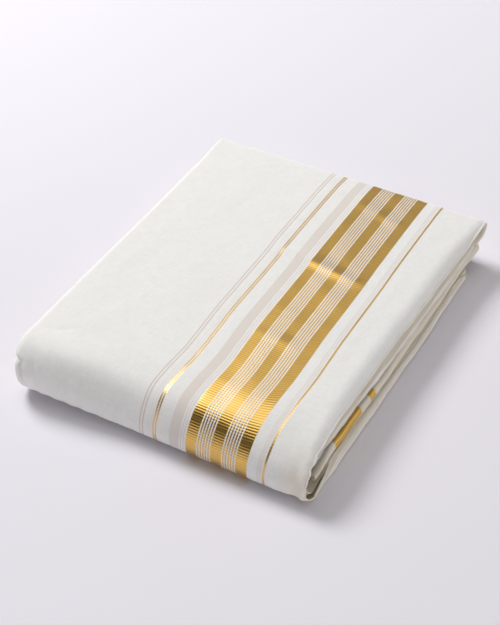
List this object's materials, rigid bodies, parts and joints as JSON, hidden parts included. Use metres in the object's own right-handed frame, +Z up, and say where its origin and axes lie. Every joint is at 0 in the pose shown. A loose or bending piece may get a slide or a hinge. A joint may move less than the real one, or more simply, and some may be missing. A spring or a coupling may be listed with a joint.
{
  "type": "folded dhoti cloth",
  "caption": "Folded white cotton dhoti, a flat rectangular pack with a rounded front fold, woven gold and beige border stripes and layered open edges on one side",
  "frame": {"origin": "on the table, under the middle of the pack", "axes": "+X runs along the front fold to the open side, +Y runs back along the woven stripes, +Z is up"},
  "size_m": [0.2728, 0.3474, 0.048],
  "materials": {
    "white_cotton": "fine plain weave, matte, with woven gold and beige stripes",
    "inner_cotton": "fine plain weave, matte"
  },
  "bodies": {
    "root": {"outer_fold": "white_cotton", "second_fold": "white_cotton", "inner_fold": "inner_cotton", "hidden_layers": "inner_cotton"}
  },
  "joints": []
}
